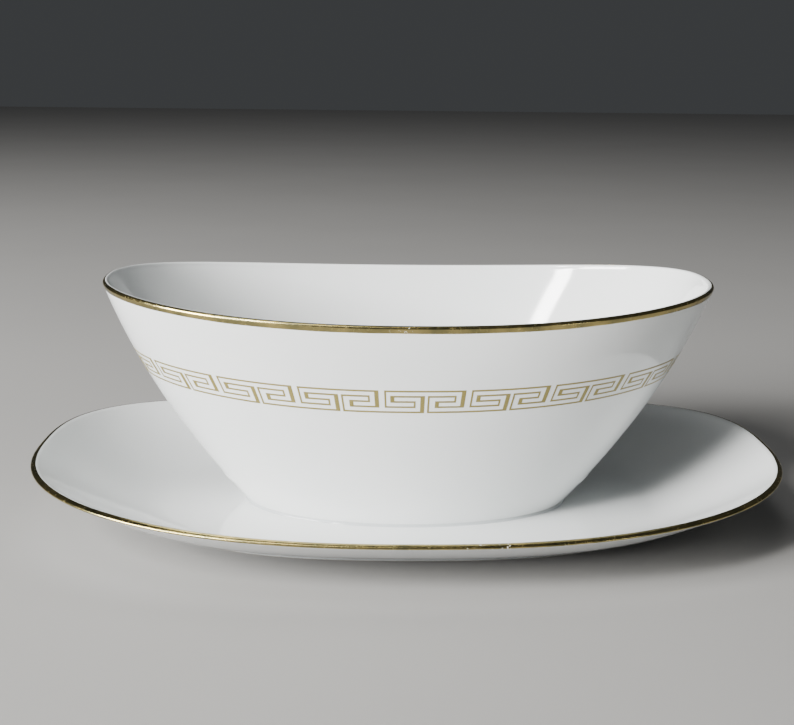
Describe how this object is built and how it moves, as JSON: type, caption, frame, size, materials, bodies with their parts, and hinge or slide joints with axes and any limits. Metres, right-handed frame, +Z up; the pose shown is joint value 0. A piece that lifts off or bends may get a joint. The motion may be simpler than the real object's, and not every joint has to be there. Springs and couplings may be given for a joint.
{
  "type": "gravy boat",
  "caption": "Oval handleless gravy boat with raised ends, fixed on its own oval underplate, with a foot ring, gilded rims and a gold Greek key band.",
  "frame": {"origin": "on the table, under the middle of the foot ring", "axes": "+X along the boat's length, +Z up from the table"},
  "size_m": [0.2432, 0.1632, 0.0812],
  "materials": {
    "porcelain": "glossy clear glaze over white porcelain",
    "foot": "glazed sides, tread wiped bare and ground smooth",
    "bright_gold": "burnished liquid gold line, lightly rubbed",
    "decal_gold": "flat transfer-printed gold, slightly matt"
  },
  "bodies": {
    "root": {"underplate": "porcelain", "foot_ring": "foot", "boat": "porcelain", "luting_seam": "porcelain", "boat_rim_gilding": "bright_gold", "underplate_rim_gilding": "bright_gold", "key_band": "decal_gold"}
  },
  "joints": []
}
